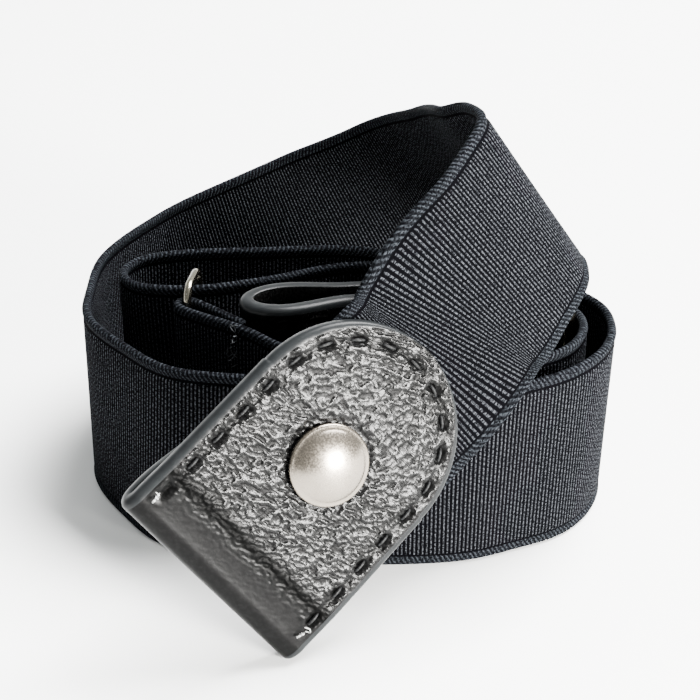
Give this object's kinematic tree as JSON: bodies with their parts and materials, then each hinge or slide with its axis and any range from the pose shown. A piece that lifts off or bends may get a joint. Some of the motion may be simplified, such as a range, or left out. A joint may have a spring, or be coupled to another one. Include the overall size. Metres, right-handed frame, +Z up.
{
  "type": "elastic stretch belt",
  "caption": "Elastic stretch belt with folded leather snap tabs at both ends and a wire length slider, rolled into a loose coil that stands on its edge.",
  "frame": {"origin": "middle of the coil's footprint on the surface that it stands on", "axes": "+Z up; -Y towards the front, where the front tab leans; +X to the right of the coil seen from the front"},
  "size_m": [0.096, 0.1166, 0.076],
  "materials": {
    "webbing": "ribbed woven elastic, matt black",
    "leather": "black grained leather, semi-gloss, painted edges",
    "nickel": "satin nickel plate",
    "steel": "bright nickel-plated steel wire"
  },
  "bodies": {
    "root": {"elastic_band": "webbing", "front_tab": "leather", "front_snap_cap": "nickel", "front_snap_post": "steel", "second_tab": "leather", "second_snap_cap": "nickel", "second_snap_post": "steel", "slider": "steel", "ring": "steel"}
  },
  "joints": []
}
